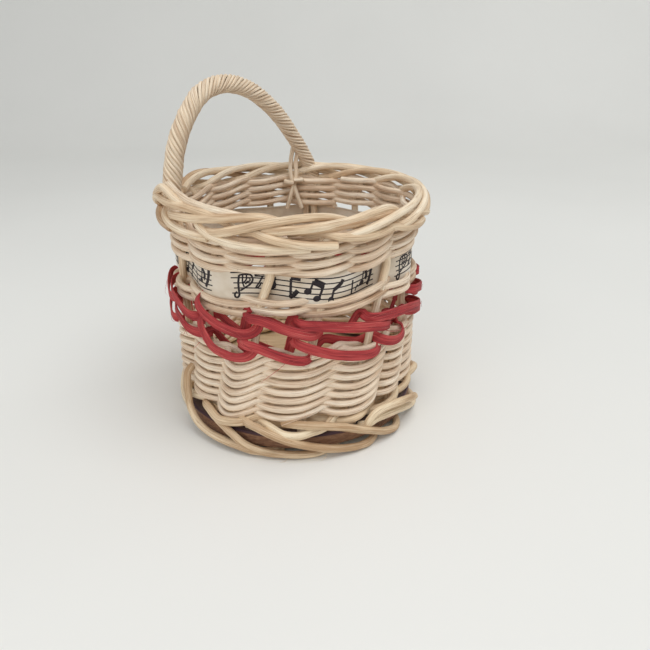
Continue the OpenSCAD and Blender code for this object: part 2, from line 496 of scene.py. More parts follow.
def board():
    """Pale wood with its grain along X, a scorched side and a dark purple ring round the rim of its top
    face.
    """
    n = Nodes("base_wood")
    place_in = n.node("ShaderNodeTexCoord").outputs["Object"]
    parts = n.node("ShaderNodeSeparateXYZ", {"Vector": place_in})
    across = n.times(parts.outputs["X"], parts.outputs["X"])
    ahead = n.times(parts.outputs["Y"], parts.outputs["Y"])
    radius = n.math("SQRT", n.plus(across, ahead))
    grain = n.noise(place_in, (90, 900, 1400), 4, 0.6)
    slow = n.noise(place_in, (25, 60, 200), 3, 0.5)
    pores = n.noise(place_in, (400, 2600, 2600), 2, 0.5)
    shade = n.plus(n.times(grain, 0.6), n.times(slow, 0.4))
    pale_stops = [(0.34, (190, 160, 122)), (0.5, (216, 192, 156)), (0.66, (232, 212, 180))]
    side_stops = [(0.34, (92, 60, 46)), (0.5, (134, 98, 74)), (0.66, (164, 126, 96))]
    pale = n.ramp(shade, pale_stops)
    side = n.ramp(shade, side_stops)
    side = n.mix(n.times(n.mask(pores, 0.38, 0.28), 0.6), side, (66, 42, 34))
    colour = n.mix(n.mask(radius, 0.0532, 0.0538), pale, side)
    # A dark purple ring on the top face's rim, where the woven wall stands on the board, and along the top
    # of the side
    uneven = n.times(n.minus(slow, 0.5), 0.0012)
    edge = n.plus(parts.outputs["Z"], uneven)
    rim = n.mask(n.plus(radius, n.times(slow, 0.002)), 0.0492, 0.0505)
    dark_rim = n.times(n.mask(edge, 0.0084, 0.0090), rim)
    colour = n.mix(n.times(dark_rim, 0.9), colour, (56, 36, 50))
    return n.finish(colour, n.mask(grain, -1.2, 1.5), grain, 0.5, 0.3)


MATERIALS = {
    "stake_cane": cane("stake_cane", (180, 142, 106), (228, 203, 170), (248, 233, 208)),
    "weaver_cane": cane("weaver_cane", (186, 150, 118), (234, 211, 184), (250, 236, 215)),
    "foot_cane": cane("foot_cane", (182, 148, 112), (228, 204, 170), (246, 230, 200)),
    "handle_cane": cane("handle_cane", (188, 156, 126), (234, 214, 187), (249, 238, 218), 0.25, 0.06),
    "red_cane": red_cane(),
    "ribbon_satin": satin(),
    "base_wood": board(),
}
INK = ink()


def show(shape, slot, *nodes, material=None):
    """Makes the piece and puts it in the place of its CAD nodes."""
    piece = shape.mesh(material or MATERIALS[slot])
    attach(piece, "root")
    if nodes:
        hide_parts(*nodes)
    return piece


# ---- woven rows

# Where the two canes of a pair cross, one crossing for each bay: its angle, how far it lies above the row's
# even line, and how far the cane that goes in lies above the one that comes out, halved
LOWER_CROSSINGS = [
    (-60, 3, 0.95), (-38, 1.6, 0.6), (-16, 2.2, 0.95), (15, 3, 0.8), (44, 4, 1.2), (64, 2, 0.95),
    (91, 1, 0.95), (117, 0.3, 0.95), (144, 0, 0.95), (170, 0, 0.95), (196, 0, 0.95), (222, 0.3, 0.95),
    (248, 1, 0.95), (274, 1.8, 0.95),
]
BOTTOM_CROSSINGS = [
    (-54, 0, 1.2), (-19, 1.2, 1), (17, 0.4, 1), (36, 0.4, 1.2),
    *((angle, 0, 1.2) for angle in (60, 83, 107, 133, 159, 185, 211, 236, 260, 283)),
]
MIDDLE_CROSSINGS = [
    (-56, 0.6, -1), (-20, 1.4, -1.1), (5, 1.6, 1), (45.5, 2.6, 1.6), (68, 0.8, 1),
    *((angle, 0, 1) for angle in (92, 117, 142, 168, 193, 219, 245, 268)), (286, 0.3, -1),
]
UPPER_CROSSINGS = [
    (-54, 0.4, -1), (-30, 0, -1.1), (0, 0, 1), (24, -0.2, 1), (47, 0.8, 1), (74, 1.2, 1),
    (102, 2.2, 1), (128, 3, 1), (155, 3.8, 1), (181, 5.4, 1), (207, 5.2, 1), (232, 4.2, 1),
    (258, 3, 1), (282, 1.6, -1),
]

# Strokes with a bend of their own, by bay: (angle, height above the row's even line, extra reach outwards)
LOWER_BENDS = {
    0: [(-52, 2.9, 0), (-45, 2.4, 0)],
    1: [(-36.5, 0.9, 0.9), (-34, -0.4, 1.1), (-31.8, -1.2, 0.9), (-29.5, -1.35, 0.5), (-26.5, -0.7, 0.2),
        (-22, 1, 0), (-18, 2.8, 0)],
    2: [(-10, 1, 0), (-4, 1.2, 0), (3, 1.6, 0), (9, 2.7, 0)],
    3: [(19, 1.3, 0), (25, 0.8, 0.1), (31, 1, 0.4), (35.5, 1.9, 0.9), (38.5, 3.2, 1.4), (41.5, 4.6, 1.4)],
    4: [(48, 2.6, 0.5), (54, 2.3, 0.2), (59, 2.3, 0)],
}
BOTTOM_BENDS = {
    0: [(-44, 2.6, 2), (-39.2, 0.7, 2.6), (-32.5, 0.4, 3), (-25, 0.9, 2.6)],
    1: [(-14, 0.8, 2.2), (-9, -0.9, 3.2), (-2.5, -1.7, 3.6), (5.6, -0.4, 3.2), (13, 0, 2)],
}
MIDDLE_BENDS = {
    3: [(14, 0.2, 0), (24, -0.4, 0), (34, -0.6, 0.5), (39.5, 0, 1), (43, 2, 1.2)],
}


def twined(name, side, crossings, bends, start, turns, z, pitch, r, lean=0.0, reach=2.85, tuck=0.0):
    """One cane of a pair that goes in front of every other bay's stake and behind the ones between.

    start is the bay it begins in, reach how far it swings from the stakes' circle, lean how many degrees
    a crossing shifts for each millimetre that its row lies above the lean level, and tuck how far the
    last turn sinks where it passes behind a stake."""
    shape = Shape(name)
    rng = shape.rng
    t = np.arange(12) / 12
    w = math.pi * (t - 0.5)
    rows = []
    for i in range(STAKES * turns):
        bay = (start + i) % STAKES
        round_on = 360 if bay == STAKES - 1 else 0
        here, low, low_half = crossings[bay]
        after, high, high_half = crossings[(bay + 1) % STAKES]
        after += round_on
        front = 1 if (bay + side) % 2 == 0 else -1
        row = z + pitch * (i + t) / STAKES
        angle = here + (after - here) * t
        first = low - front * low_half
        last = high + front * high_half
        out = 0 * t
        if front > 0 and bay in bends:
            knots = smooth([(here, first, 0)] + bends[bay] + [(after, last, 0)], 8)
            lift = np.interp(angle, knots[:, 0], knots[:, 1])
            out = np.interp(angle, knots[:, 0], knots[:, 2])
        else:
            lift = (first + last) / 2 + (last - first) / 2 * np.sin(w)
        if front < 0 and i >= STAKES * (turns - 1):
            lift = lift - tuck * np.cos(w)
        swing = np.cos(w) * (1 + 0.06 * rng.uniform(-1, 1))
        radius = STAKE_CIRCLE + front * reach * swing + out
        height = row + lift + 0.14 * rng.uniform(-1, 1) * np.cos(w)
        rows.append(np.stack([angle + lean * (row - LEAN_LEVEL), radius, height], 1))
    path = place(np.vstack(rows))
    path = smooth(path[::2], 3)
    tube(shape, path, outward(path), r * 0.97, r * 1.04)
    return shape


WOVEN = {
    "lower": dict(crossings=LOWER_CROSSINGS, bends=LOWER_BENDS, turns=LOWER_TURNS, z=LOWER_Z,
                  pitch=LOWER_PITCH, r=WEAVER_R, lean=LOWER_LEAN, tuck=3.0),
    "bottom": dict(crossings=BOTTOM_CROSSINGS, bends=BOTTOM_BENDS, turns=1, z=BOTTOM_Z,
                   pitch=0.0, r=STAKE_R, reach=3.3),
    "middle": dict(crossings=MIDDLE_CROSSINGS, bends=MIDDLE_BENDS, turns=2, z=MIDDLE_Z,
                   pitch=UPPER_PITCH, r=WEAVER_R),
    "upper": dict(crossings=UPPER_CROSSINGS, bends={}, turns=UPPER_TURNS, z=UPPER_Z,
                  pitch=UPPER_PITCH, r=WEAVER_R),
}
LOOSE_FIBRE = [(-7, 55.6, 15.8), (-2, 56.4, 18.6), (2, 56.9, 20.6), (7, 56.7, 22.3)]


def weave():
    """Both canes of every twined pair."""
    for side, letter in enumerate("ab"):
        for rows, how in WOVEN.items():
            name = f"{rows}_weaver_{letter}"
            shape = twined(f"{name}_cane", side, start=JOIN_BAY + 1, **how)
            if name == "lower_weaver_b":
                hair(shape, place(LOOSE_FIBRE), 0.2)
            show(shape, "foot_cane" if rows == "bottom" else "weaver_cane", name)


# ---- stakes with their border strokes

# A border stroke in two parts, each as (angle past the stake, radius, height): it rises in front of the
# next two stakes and lies on the crest, then dips behind the strands that follow and ends low.
RISE = [
    (-3.5, 51.2, 91), (-1.5, 54, 93.6), (4, 56.3, 94.2), (9, 56.8, 95), (16, 56.8, 96.8), (26, 56.2, 99.2),
    (38, 55.1, 100.8), (48, 53.8, 100.6), (56, 52.8, 98.6),
]
FALL = [(62, 52, 95.6), (68, 52.2, 94), (73, 54, 94.4), (79, 56.2, 93.9), (86, 56.9, 92.4),
        (95, 56.8, 91.2), (105, 56, 90.8)]
FLAT_RISE = [
    (-4, 51, 91.5), (-3, 53.5, 95), (6, 56.2, 96.6), (15, 56.6, 97.6), (28, 56, 98.8), (40, 55, 100.3),
    (50, 53.5, 100.6), (57, 52.6, 98.6),
]
LOW_FALL = [(62, 52, 95.6), (67, 52.2, 94.4), (72, 54, 95), (77.5, 56.4, 94.2), (82, 57, 93.2),
            (88, 57, 92), (94, 57, 91.3), (103, 57, 91)]
SMILE_FALL = [(62, 52, 95.8), (68, 52.4, 94.6), (73, 54.5, 95), (78, 56.6, 94), (84, 57, 93.2),
              (92, 56.8, 92.7), (101, 56, 93.3), (109, 54, 94.4)]
SHORT_FALL = [(69, 53.4, 98.4), (71, 53.6, 96.6), (74, 55.4, 95.8), (78, 56.7, 94), (82.5, 57, 92.6),
              (88, 57, 91.6), (94, 56.8, 90.9), (103, 56.4, 90.2), (112, 55.4, 89.6), (119, 54, 89.4)]
# The two strands at the foot of the handle lie high, over it and over each other
OVER_FOOT = [
    (-3.5, 51.2, 92), (-1.5, 54, 95.2), (4, 56.3, 95), (12, 57, 97), (24, 57.2, 99), (36, 57.2, 100.6),
    (44, 57, 103.4), (51, 56.8, 106), (56, 56.6, 105.6), (61, 56, 103.4), (65.5, 55, 101.4),
]
ROUND_FOOT = [
    (-3.5, 51.2, 92), (-1.5, 54, 94), (4, 56.6, 96), (12, 57.6, 99.4), (20, 57.6, 101.5), (29, 57.3, 101.5),
    (38, 56.5, 101.4), (47, 55.5, 101), (55, 54.8, 99.9), (60, 54, 98.2),
]
LEFT_FALL = [(62, 52.6, 97), (67, 53.4, 96.6), (72, 55, 96.2), (77, 56.8, 95.6), (81, 57.4, 94.2),
             (86, 57.4, 93), (93, 57.2, 92.2), (100, 57, 92.1), (105, 56.4, 92)]
# At the back a strand lies along the inside of the crest before it dips
LONG_RISE = [
    (-3.5, 51.2, 91), (-1.5, 54, 93.2), (4, 56.3, 93.8), (10, 56.9, 94.8), (19, 56.9, 96.8),
    (30, 56.2, 98.6), (45, 54.8, 100), (58, 53.4, 100.6), (70, 52.2, 100.2), (79, 51.2, 98.8),
    (86, 50.7, 97),
]
LONG_FALL = [(91, 51.4, 95.4), (95, 53.6, 94.6), (100, 55.9, 93.8), (106, 56.9, 92.6), (114, 57, 91.4),
             (124, 56.6, 90.8), (131, 55.8, 90.6)]
# A short cane that lies along the right front strand, under its crest
BESIDE = [
    (8, 53, 95), (14, 55, 96.2), (22, 56, 97), (32, 55.8, 98), (42, 54.8, 98.8), (52, 53.6, 98.6),
    (60, 52, 96.8),
]
# The strokes that differ from LONG_RISE and LONG_FALL, by stake
BORDER = {
    14: (FLAT_RISE, FALL), 13: (RISE, FALL), 12: (FLAT_RISE, SMILE_FALL), 11: (ROUND_FOOT, LOW_FALL),
    10: (OVER_FOOT, SHORT_FALL), 9: (RISE, LEFT_FALL), 8: (RISE, FALL), 7: (LONG_RISE, []),
}

# How far some stakes stray from the even lean, by height: (height, degrees)
STRAY = {
    14: [(38, 0), (48, -3.4), (58, -3.8), (66, -2.6), (78, 0.8), (90, 0)],
    1: [(38, 0), (48, -3.2), (60, -3), (70, -0.5), (90, 0)],
    13: [(38, 0), (48, -3.6), (60, -3.8), (70, -1), (90, 0)],
    2: [(54, 0), (65, 2.2), (77, 6.2), (90, 0)],
    12: [(50, 0), (64, -7), (76, -6), (90, 0)],
}


def stakes():
    """The upright stakes, each with its stroke in the border."""
    heights = [3.4, 9, 15, 22, 30, 38, 46, 54, 60, 66, 72, 78, 84, 88]
    for k in range(1, STAKES + 1):
        shape = Shape(f"stake_{k:02d}_cane")
        rise, fall = BORDER.get(k, (LONG_RISE, LONG_FALL))
        stray = np.transpose(STRAY.get(k, [(0, 0)]))
        foot = []
        for z in heights:
            angle = stake_angle(k, max(z, BOARD_TOP)) + float(np.interp(z, *stray))
            foot.append((angle, STAKE_CIRCLE, z))
        top = stake_angle(k, BORDER_Z)
        bends = [(top + a, r, z) for a, r, z in rise + fall]
        path = evenly(place(smooth(foot + bends, 12)), 1.0)
        size = np.interp(lengths(path), [0, 70, 95, 110], [STAKE_R, STAKE_R, 1.6, BORDER_R])
        tube(shape, path, outward(path), size * 0.94, size * 1.06)
        if k == STAKES:
            beside = place([(top + a, r, z) for a, r, z in BESIDE])
            beside = evenly(smooth(beside, 12), 1.0)
            tube(shape, beside, outward(beside), 1.4, 1.5)
        show(shape, "stake_cane", f"stake_{k:02d}")


# ---- foot strands

# A foot strand: (angle past its stake, radius, height), down round the board's side and under it
FOOT = [
    (-6, 51.5, 14.5), (0, 55, 15.4), (7, 56.6, 14.2), (14, 57, 11), (22, 57, 8), (31, 57, 5.2),
    (41, 56.8, 2.9), (50, 55.6, 1.9), (57, 53, 1.7), (63, 50, 1.7),
]
# The routes seen in the picture, by strand: (angle, radius, height)
FOOT_OWN = {
    12: [(-62, 52, 28), (-60.8, 55, 26), (-59.7, 56, 21.6), (-58.7, 56.5, 16.2), (-56.5, 57, 11.3),
         (-51.5, 57, 6.8), (-44.1, 57, 4.9), (-35, 57, 4.1), (-25.8, 57, 3.4), (-18.9, 56.6, 2.6),
         (-13, 54.6, 1.9), (-8, 51, 1.7)],
    13: [(-46, 52.5, 13.5), (-39.8, 55, 12.6), (-34.7, 56.5, 11.7), (-29.7, 57, 9), (-23.1, 57, 5.2),
         (-14.4, 56.9, 2.9), (-6, 56.8, 2.3), (1, 56.6, 2.1), (7, 55.8, 1.9), (13, 53.4, 1.7),
         (19, 50, 1.7)],
    14: [(-27, 53, 14.8), (-21.2, 55.8, 14.7), (-17, 57, 14.4), (-12.1, 58, 12.9), (-5.7, 58.4, 10.3),
         (2.2, 58.4, 7.8), (14.6, 58, 4.3), (23.6, 57.8, 2.7), (29.9, 57.2, 2.1), (34.5, 55.6, 1.8),
         (39, 52.5, 1.7)],
    1: [(-7, 53, 15.2), (-1.2, 56, 16.6), (4.4, 57, 16.4), (10.5, 57.5, 15.8), (18.8, 58, 13.7),
        (28.3, 58, 9.5), (39.7, 58, 4.6), (46.5, 57.6, 2.4), (52, 55.6, 1.9), (57, 52, 1.7)],
    2: [(26, 53, 8), (30, 56, 10), (31.2, 57, 13), (35, 57.5, 15.8), (42.8, 58, 16), (52.2, 58.7, 14.3),
        (62.9, 59.2, 10.7)],
    3: [(29, 53, 9), (31.4, 56.4, 10.8), (36, 57, 12.2), (47.5, 57, 10.5), (53.8, 57, 8.8), (62, 57, 5.8),
        (70, 57, 3.4), (77, 56, 2.1), (82.5, 53.6, 1.7), (88, 50, 1.7)],
    10: [(-122, 52, 14), (-116, 55.4, 13.4), (-109, 56.2, 10), (-101, 55.6, 5.5), (-93, 54, 2.6),
         (-85, 51.6, 1.7)],
    11: [(-98, 52, 13), (-94, 54.8, 11), (-89, 55.6, 7), (-83, 55, 3.8), (-76, 53.4, 2), (-68, 51, 1.7)],
}
FOOT_FIBRES = {
    13: [(-6, 57.6, 2.2), (-5, 58.6, 1.6), (-6, 59, 0.6), (-8, 59.4, 0.3)],
    14: [(10, 57.6, 3.2), (11, 58.6, 2.4), (10.4, 58.9, 1.2), (8.5, 59.3, 0.4)],
}


def feet():
    """The strands that slant down round the board's side and tuck under it."""
    for k in range(1, STAKES + 1):
        shape = Shape(f"foot_strand_{k:02d}_cane")
        base = stake_angle(k, FOOT_Z)
        route = FOOT_OWN.get(k, [(base + a, r, z) for a, r, z in FOOT])
        path = evenly(place(smooth(route, 12)), 1.0)
        tube(shape, path, outward(path), FOOT_R, FOOT_R)
        if k in FOOT_FIBRES:
            hair(shape, place(FOOT_FIBRES[k]), 0.12)
        show(shape, "foot_cane", f"foot_strand_{k:02d}")


# ---- red bands

RED_CROSSINGS = [-74, -47, -20, 4, 38, 62, 87, 112, 138, 164, 190, 216, 242, 267]
UPPER_RED_Z = 59.6
LOWER_RED_Z = 50
# Front strokes that have a route of their own, by bay
UPPER_RED = {
    0: [(-76, 51, 65.5), (-73, 54.6, 64.8), (-66, 56.4, 62.8), (-59, 56.6, 60.5), (-52, 56.2, 57.4),
        (-47, 54.2, 56.6), (-45, 50.5, 57)],
    1: [(-46.5, 50.5, 67), (-45.5, 54, 66), (-43.5, 56.2, 64), (-40.5, 56.6, 61.3), (-35, 56.6, 58.6),
        (-27.5, 56.6, 56.4), (-21.5, 56.3, 55.7), (-18.3, 55, 56.2), (-16.6, 52.8, 57.4),
        (-16.4, 50, 58.6)],
    2: [(-21.6, 50.3, 62.8), (-20.6, 53.6, 62.4), (-18.5, 56, 62.5), (-13.5, 56.6, 62.3), (-7, 56.6, 60),
        (-0.5, 56.6, 57.9), (4.5, 56.4, 56.4), (7.8, 55.2, 56), (9.2, 52.6, 56.2), (9.6, 49.8, 56.6)],
    3: [(-1.6, 50, 61), (-0.6, 53.4, 60.8), (1.4, 56, 60.6), (6, 56.8, 60.3), (13, 57, 59.4),
        (23, 57, 57.5), (33, 56.8, 55.6), (40, 56.2, 53.9), (43.5, 54.4, 53.2), (45, 51, 53)],
    4: [(29, 50.4, 60.2), (30.2, 54.4, 59.6), (33.5, 56.5, 59.2), (42, 56.8, 58.6), (53, 57, 57.4),
        (64, 57, 54.6), (74, 56.4, 51.6), (80, 54, 50.4), (83, 50.6, 50.2)],
}
LOWER_RED = {
    0: [(-70, 50.6, 57.8), (-67, 54.8, 57.2), (-62, 56.5, 55.2), (-57.5, 56.6, 53.4), (-52, 56.4, 51),
        (-46.5, 55.2, 50.4), (-43, 52.6, 50.4), (-41.5, 50, 50.6)],
    1: [(-44.8, 50.5, 59), (-44.2, 54.2, 58), (-42.6, 56.2, 55.2), (-40, 56.6, 51.2), (-36, 56.8, 47.2),
        (-30.5, 56.6, 45.6), (-25, 56.3, 45), (-21, 55.2, 45.6), (-18.9, 53, 47.2), (-18.4, 50.4, 48.8)],
    2: [(-25, 50.5, 51.6), (-23.8, 54.2, 51.4), (-21, 56.2, 51.3), (-17, 56.6, 51), (-12, 56.7, 49.6),
        (-4.5, 56.7, 47), (1, 56.4, 45.7), (4, 55.2, 45.4), (5.8, 52.6, 45.6), (6.4, 50, 46)],
    3: [(-2, 50.2, 52.8), (-0.8, 53.8, 52.4), (2, 56.2, 51.8), (7, 56.7, 50), (15, 56.9, 47.3),
        (23.5, 56.8, 45.2), (31, 56.4, 43.7), (35.5, 55.4, 43.9), (38, 53.4, 45.4), (38.8, 50.6, 46.8)],
    4: [(36, 50.4, 48.6), (37.4, 54.6, 48.2), (40.5, 56.6, 47), (46, 57, 45.8), (51, 56.6, 46.6),
        (54, 54.6, 48.4), (55.4, 51, 50)],
}


def red_stroke(bay, z, own):
    """A front stroke's route: its own, or an even one that starts high and ends low."""
    if bay in own:
        return own[bay]
    a = RED_CROSSINGS[bay]
    b = RED_CROSSINGS[bay + 1] if bay + 1 < STAKES else RED_CROSSINGS[0] + 360
    shares = [(-0.12, 50.4, 3.4), (-0.06, 54.2, 3.1), (0.06, 56.2, 2.6), (0.35, 56.7, 1.2),
              (0.65, 56.7, -1.2), (0.92, 56, -2.8), (1.04, 54, -3.1), (1.1, 50.4, -3.2)]
    return [(a + (b - a) * t, r, z + rise) for t, r, rise in shares]


def red_band(name, side, z, own, hairs, seen=()):
    """A flat cane: its own front strokes, and short steps behind the stakes between them.

    A step lies low behind the other cane's stroke, which hides it from above. seen holds the bays that
    show their step, with its height."""
    shape = Shape(f"{name}_cane")
    route = []
    for bay in range(side, STAKES, 2):
        stroke = list(red_stroke(bay, z, own))
        if route:
            cover = np.array(red_stroke(bay - 1, z, own))
            before, after = route[-1][0], stroke[0][0]
            for share in (0.2, 0.5, 0.8):
                angle = before + share * (after - before)
                height = np.interp(angle, cover[:, 0], cover[:, 2]) - RED_STEP_DROP
                if bay - 1 in seen:
                    height = seen[bay - 1] - 6.5 * (share - 0.5)
                route.append((angle, RED_INNER_R, height))
        route.extend(stroke)
    # The end runs on behind the stakes to where the cane began
    end = route[-1]
    while end[0] < route[0][0] + 352:
        end = (end[0] + 8, RED_INNER_R, end[2] + 0.6 * (z + 2 - end[2]))
        route.append(end)
    path = evenly(place(smooth(route, 10)), 0.8)
    width = RED_W / 2 * (1 + 0.08 * drift(len(path), 0.8, 22, shape.rng))
    tube(shape, path, outward(path), RED_T / 2, width, sides=34, flat=True, ridge=0.12, wobble=0.12)
    for points, r in hairs:
        hair(shape, place(points), r)
    fuzz(shape, path)
    show(shape, "red_cane", name)


def fuzz(shape, path):
    """Fine fibres that stand off the flat cane, each along it for a few millimetres."""
    rng = shape.rng
    out = outward(path)
    front = [i for i in range(len(path) - 12) if np.hypot(*path[i][:2]) > RED_FRONT_R]
    for i in rng.choice(front, RED_FIBRES, replace=False):
        high = rng.uniform(-2.2, 2.2, 3)
        lift = (0.1, rng.uniform(0.6, 1.5), rng.uniform(0.3, 1.0))
        steps = (0, rng.integers(4, 7), rng.integers(8, 12))
        points = [
            path[i + step] + out[i + step] * (RED_T / 2 + up) + [0, 0, z]
            for step, up, z in zip(steps, lift, high)
        ]
        hair(shape, np.array(points), 0.07)


def red_bands():
    """The two red pairs with the loose fibres that the picture shows on them, each as (route, radius)."""
    upper_a = [([(-9, 57, 62.4), (-6, 57.6, 61), (-5, 57.4, 58.6)], 0.08)]
    upper_b = [
        ([(1, 55.6, 63), (4, 57.4, 62.6), (8, 57.6, 60.4), (9.5, 57.4, 58)], 0.1),
        ([(30, 56.8, 59.8), (36, 57.4, 60.4), (42, 57.6, 59.6)], 0.09),
    ]
    lower_a = [
        ([(9, 57.2, 50.4), (13, 57.6, 49.2), (18, 57.6, 47.6)], 0.08),
        ([(-13, 57, 50.6), (-11, 58, 53), (-12, 57.4, 55)], 0.08),
        ([(-53, 56.6, 50), (-55, 57.2, 47), (-58, 57.4, 45)], 0.08),
    ]
    lower_b = [
        ([(-3, 57.4, 47), (-7, 57.6, 43), (-12, 57.2, 38.5), (-15, 56.6, 35.4)], 0.09),
        ([(36, 55.5, 53.4), (42, 57.6, 51), (49, 58.2, 50), (54, 57.8, 50.6)], 0.16),
        ([(2, 55, 50.6), (5, 57.8, 49.4), (4.6, 58, 46.4), (2, 57.6, 45.6)], 0.08),
        ([(-43, 57, 47.6), (-47, 57.2, 43.6), (-50, 56.4, 41.4)], 0.08),
    ]
    red_band("red_upper_a", 0, UPPER_RED_Z, UPPER_RED, upper_a)
    red_band("red_upper_b", 1, UPPER_RED_Z, UPPER_RED, upper_b)
    red_band("red_lower_a", 0, LOWER_RED_Z, LOWER_RED, lower_a, seen={3: 48.3})
    red_band("red_lower_b", 1, LOWER_RED_Z, LOWER_RED, lower_b)


# ---- handle

LEFT_FOOT = place([(HANDLE_LEFT, HANDLE_CIRCLE, 0)])[0]
BACK_FOOT = place([(HANDLE_BACK, HANDLE_CIRCLE, 0)])[0]
ARCH_MIDDLE = (LEFT_FOOT + BACK_FOOT) / 2
ARCH_WAY = (BACK_FOOT - LEFT_FOOT) / np.linalg.norm(BACK_FOOT - LEFT_FOOT)
ARCH_SIDE = np.cross(ARCH_WAY, UP)


def on_arch(rows):
    """Points in space from (distance from the middle, height) rows in the handle's plane."""
    rows = np.asarray(rows, float)
    return ARCH_MIDDLE + ARCH_WAY * rows[:, :1] + UP * rows[:, 1:2]


# A strand that comes out of the handle's left foot and lies along the top of the border
LOOSE_STRAND = [
    (-74, 52.4, 101), (-68, 53.2, 105), (-64, 53.8, 106.4), (-60, 54, 106.2), (-56, 54.2, 105.2),
    (-52, 54, 104.2), (-46, 54, 102.9), (-38.6, 54, 102.2), (-30.6, 53.8, 101.6), (-22, 53.4, 100.4),
    (-15, 52.6, 98.6), (-9, 52, 96.6),
]


def handle_core():
    """The cane inside the rope, with its two ends pushed down beside stakes."""
    shape = Shape("handle_core_cane")
    left = [(HANDLE_LEFT, STAKE_CIRCLE, z) for z in (72, 80, 88)]
    back = [(HANDLE_BACK, STAKE_CIRCLE, z) for z in (88, 80, 72)]
    path = evenly(smooth(np.vstack([place(left), on_arch(ARCH), place(back)]), 10), 1.0)
    tube(shape, path, np.tile(ARCH_SIDE, (len(path), 1)), CORE_R, CORE_R, sides=12)
    show(shape, "handle_cane", "handle_core")


def handle_rope():
    """The strands round the core, each as a pair of thin canes that thin out towards the back foot."""
    arch = evenly(on_arch(smooth(ARCH, 12)), 1.0)
    across = np.tile(ARCH_SIDE, (len(arch), 1))
    normal = np.cross(across, unit(np.gradient(arch, axis=0)))
    share = np.linspace(0, 1, len(arch))
    slim = 1 - 0.15 * share
    for k in range(1, ROPE_COUNT + 1):
        name = f"handle_strand_{k:02d}"
        shape = Shape(f"{name}_cane")
        for half in (-0.25, 0.25):
            w = 2 * math.pi * ((k + half) / ROPE_COUNT - ROPE_TURNS * share)
            w = w + 0.05 * drift(len(arch), 1.0, 30, shape.rng)
            reach = ROPE_REACH * slim + 0.1 * drift(len(arch), 1.0, 20, shape.rng)
            path = arch + reach[:, None] * (np.cos(w)[:, None] * normal + np.sin(w)[:, None] * across)
            r = ROPE_R * slim
            tube(shape, path, unit(path - arch), r, r, sides=12, ridge=0.02, wobble=0.06)
        if k == 3:
            loose = evenly(place(smooth(LOOSE_STRAND, 12)), 1.0)
            tube(shape, loose, outward(loose), 1.5, 1.6)
        show(shape, "handle_cane", name)


def handle_ends():
    """Two thin ends that drop inside the rim near the back foot, and the loop that ties them."""
    for letter, start, spread in (("a", (33, 113.5), 1.5), ("b", (36, 109), -1.5)):
        shape = Shape(f"handle_tail_{letter}_cane")
        route = place([(180 + spread, 47.5, 103), (180 + spread, 45.9, 96), (180 - spread, 45.5, 88),
                       (180 - 3 * spread, 46.2, 80)])
        path = evenly(smooth(np.vstack([on_arch([start]), route]), 12), 0.8)
        tube(shape, path, outward(path), TAIL_R, TAIL_R, sides=12)
        show(shape, "handle_cane", f"handle_tail_{letter}")

    shape = Shape("handle_tie_cane")
    w = np.linspace(-90, 270, 40)
    angle = 180 + 5 * np.cos(np.radians(w))
    radius = 46.6 + 2.4 * np.sin(np.radians(w))
    path = place(np.stack([angle, radius, 93 + (w + 90) / 240], 1))
    tube(shape, path, np.tile(UP, (len(path), 1)), TAIL_R, TAIL_R, sides=12)
    show(shape, "handle_cane", "handle_tie")


# ---- ribbon and its print

# One length of the print: lines of ink as (along, up) points with their width
PRINT_STROKES = [
    ([(-0.1, 3.1), (-0.5, 0), (-0.4, -3), (-0.3, -4.6), (-0.9, -5.8), (-1.9, -5.6), (-2, -4.4),
      (-1.1, -3.6)], 0.78),
    ([(0, 3.1), (2.2, 3.4), (4.4, 3.1), (5.1, 1.5), (4.1, -0.4), (2, -1.9), (0.1, -3.1)], 0.72),
    ([(1.3, 3.1), (1.1, 0.6), (1.6, -1.6)], 0.59),
    ([(2.7, 3.1), (2.5, 1.2), (0.9, -0.4)], 0.59),
    ([(2.9, 2), (3.9, 1.9), (3.9, 0.7), (2.9, 0.5), (2.2, -0.6)], 0.59),
    ([(5.8, 3), (8, 3.1), (9.7, 3.2)], 0.98),
    ([(9, 3), (7.6, 0.4), (6.1, -1.8), (7.3, -1.4), (8.4, 0.4)], 0.59),
    ([(13.6, 3.1), (13.3, 0.8), (13.3, -1.6)], 1),
    ([(19.9, 3.1), (19.7, 0), (19.5, -4.6)], 1),
    ([(19.2, -4.3), (20.8, -3.2), (22.4, -1.2)], 1.7),
    ([(19.8, 3.1), (21.6, 3.2), (23.6, 3.1)], 1.2),
    ([(27, -0.9), (27.8, 1.2), (28.4, 3.2)], 0.78),
    ([(30.4, -3.5), (31.3, -1), (32.1, 1.4)], 0.91),
    ([(28.5, 2.9), (30.3, 2.2), (32.3, 1.2)], 2.6),
    ([(40, 3), (39.3, 1.7), (37.6, 0.4), (36, -0.6)], 1.6),
    ([(36.1, -0.5), (35.6, -2.6), (35.2, -4.2)], 0.91),
    ([(45, 1.4), (44.7, -1.4), (44.2, -4)], 0.78),
    ([(46.3, -3.4), (47.6, -1.4), (48.4, -2.2), (49.8, -0.4)], 0.52),
    ([(50.6, -0.8), (51, 1.8), (51.3, 4.2)], 0.65),
    ([(51.3, 4), (52.8, 2.4), (52.9, 0.8), (52.2, -0.5)], 1.4),
    ([(55.9, 4.2), (55.4, 1.2), (54.6, -1), (53.4, -3.2)], 1.4),
]
# Filled ovals: along, up, half length, half height and tilt
PRINT_HEADS = [
    (12.4, -0.3, 1.9, 1.6, 0.9), (26.2, -1.2, 1.5, 1.2, 0.3), (29.6, -3.8, 1.5, 1.2, 0.3),
    (35, -4.6, 1.2, 1.4, 0.2), (50.1, -1.3, 1.3, 1, 0.4),
]


